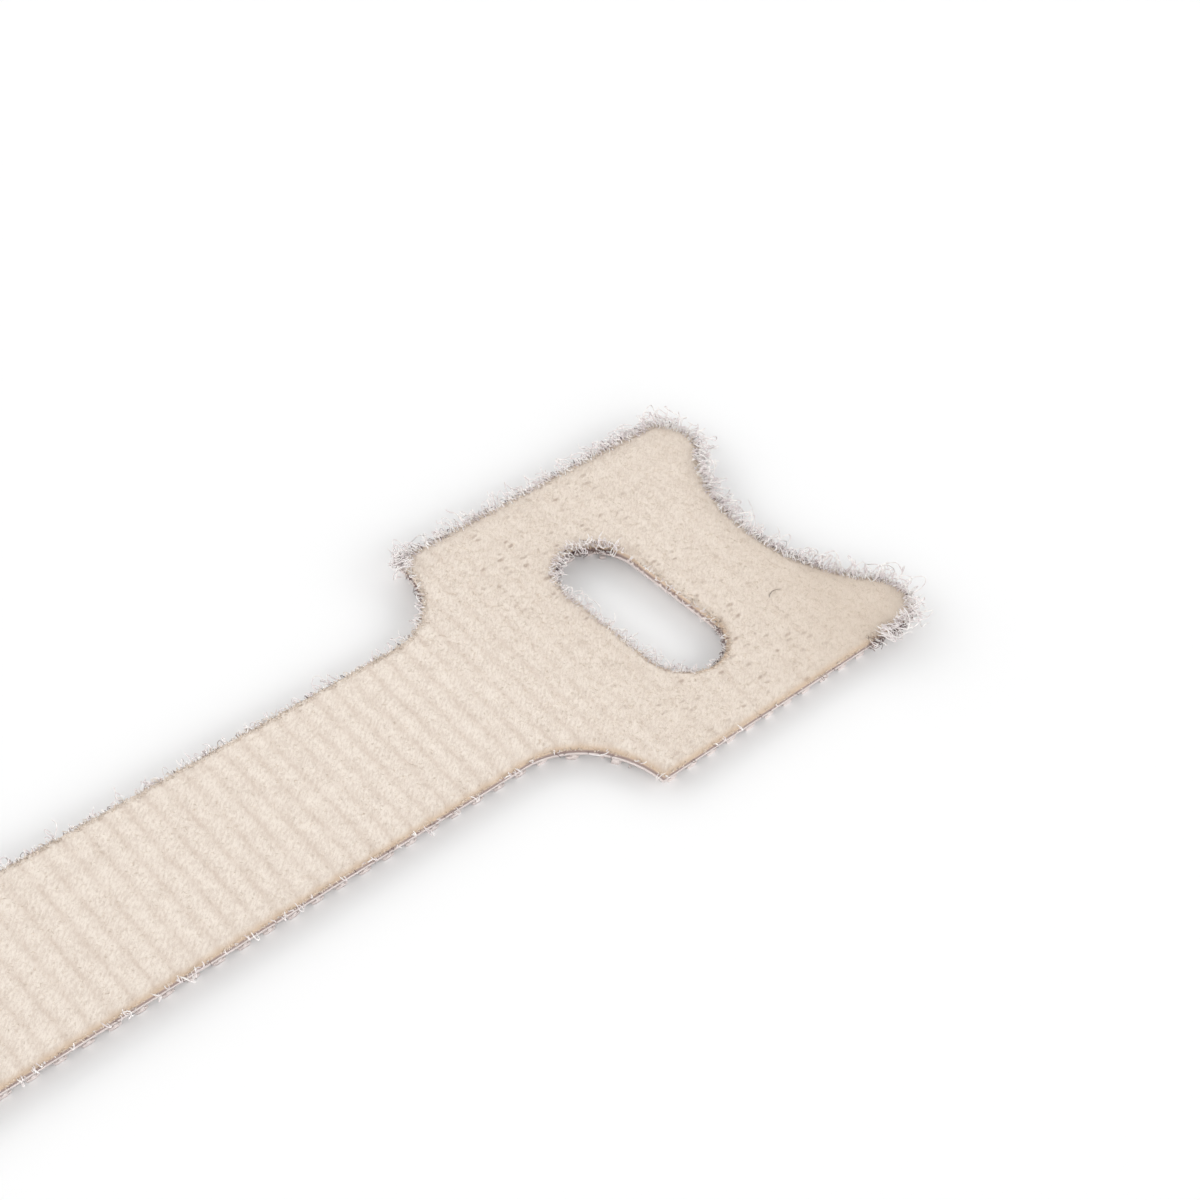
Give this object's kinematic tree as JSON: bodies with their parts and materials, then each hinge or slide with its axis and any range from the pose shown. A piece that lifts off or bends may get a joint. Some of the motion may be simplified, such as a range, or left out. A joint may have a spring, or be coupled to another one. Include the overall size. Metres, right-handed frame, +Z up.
{
  "type": "hook and loop cable tie",
  "caption": "Flat die cut fabric strap with a wide slotted head, loops on one face and hooks on the other, that wraps round cables and grips itself.",
  "frame": {"origin": "middle of the tie's bounding box, on the plane that the hooks lie on", "axes": "+X along the strap to the slotted head, +Y across the strap, +Z up out of the loop face"},
  "size_m": [0.15, 0.025, 0.0014],
  "materials": {
    "loop_knit": "brushed knitted loops, matt cream",
    "moulded_hooks": "moulded hooks, cream, slightly translucent"
  },
  "bodies": {
    "root": {"loop_fabric": "loop_knit", "hook_backing": "moulded_hooks"}
  },
  "joints": []
}
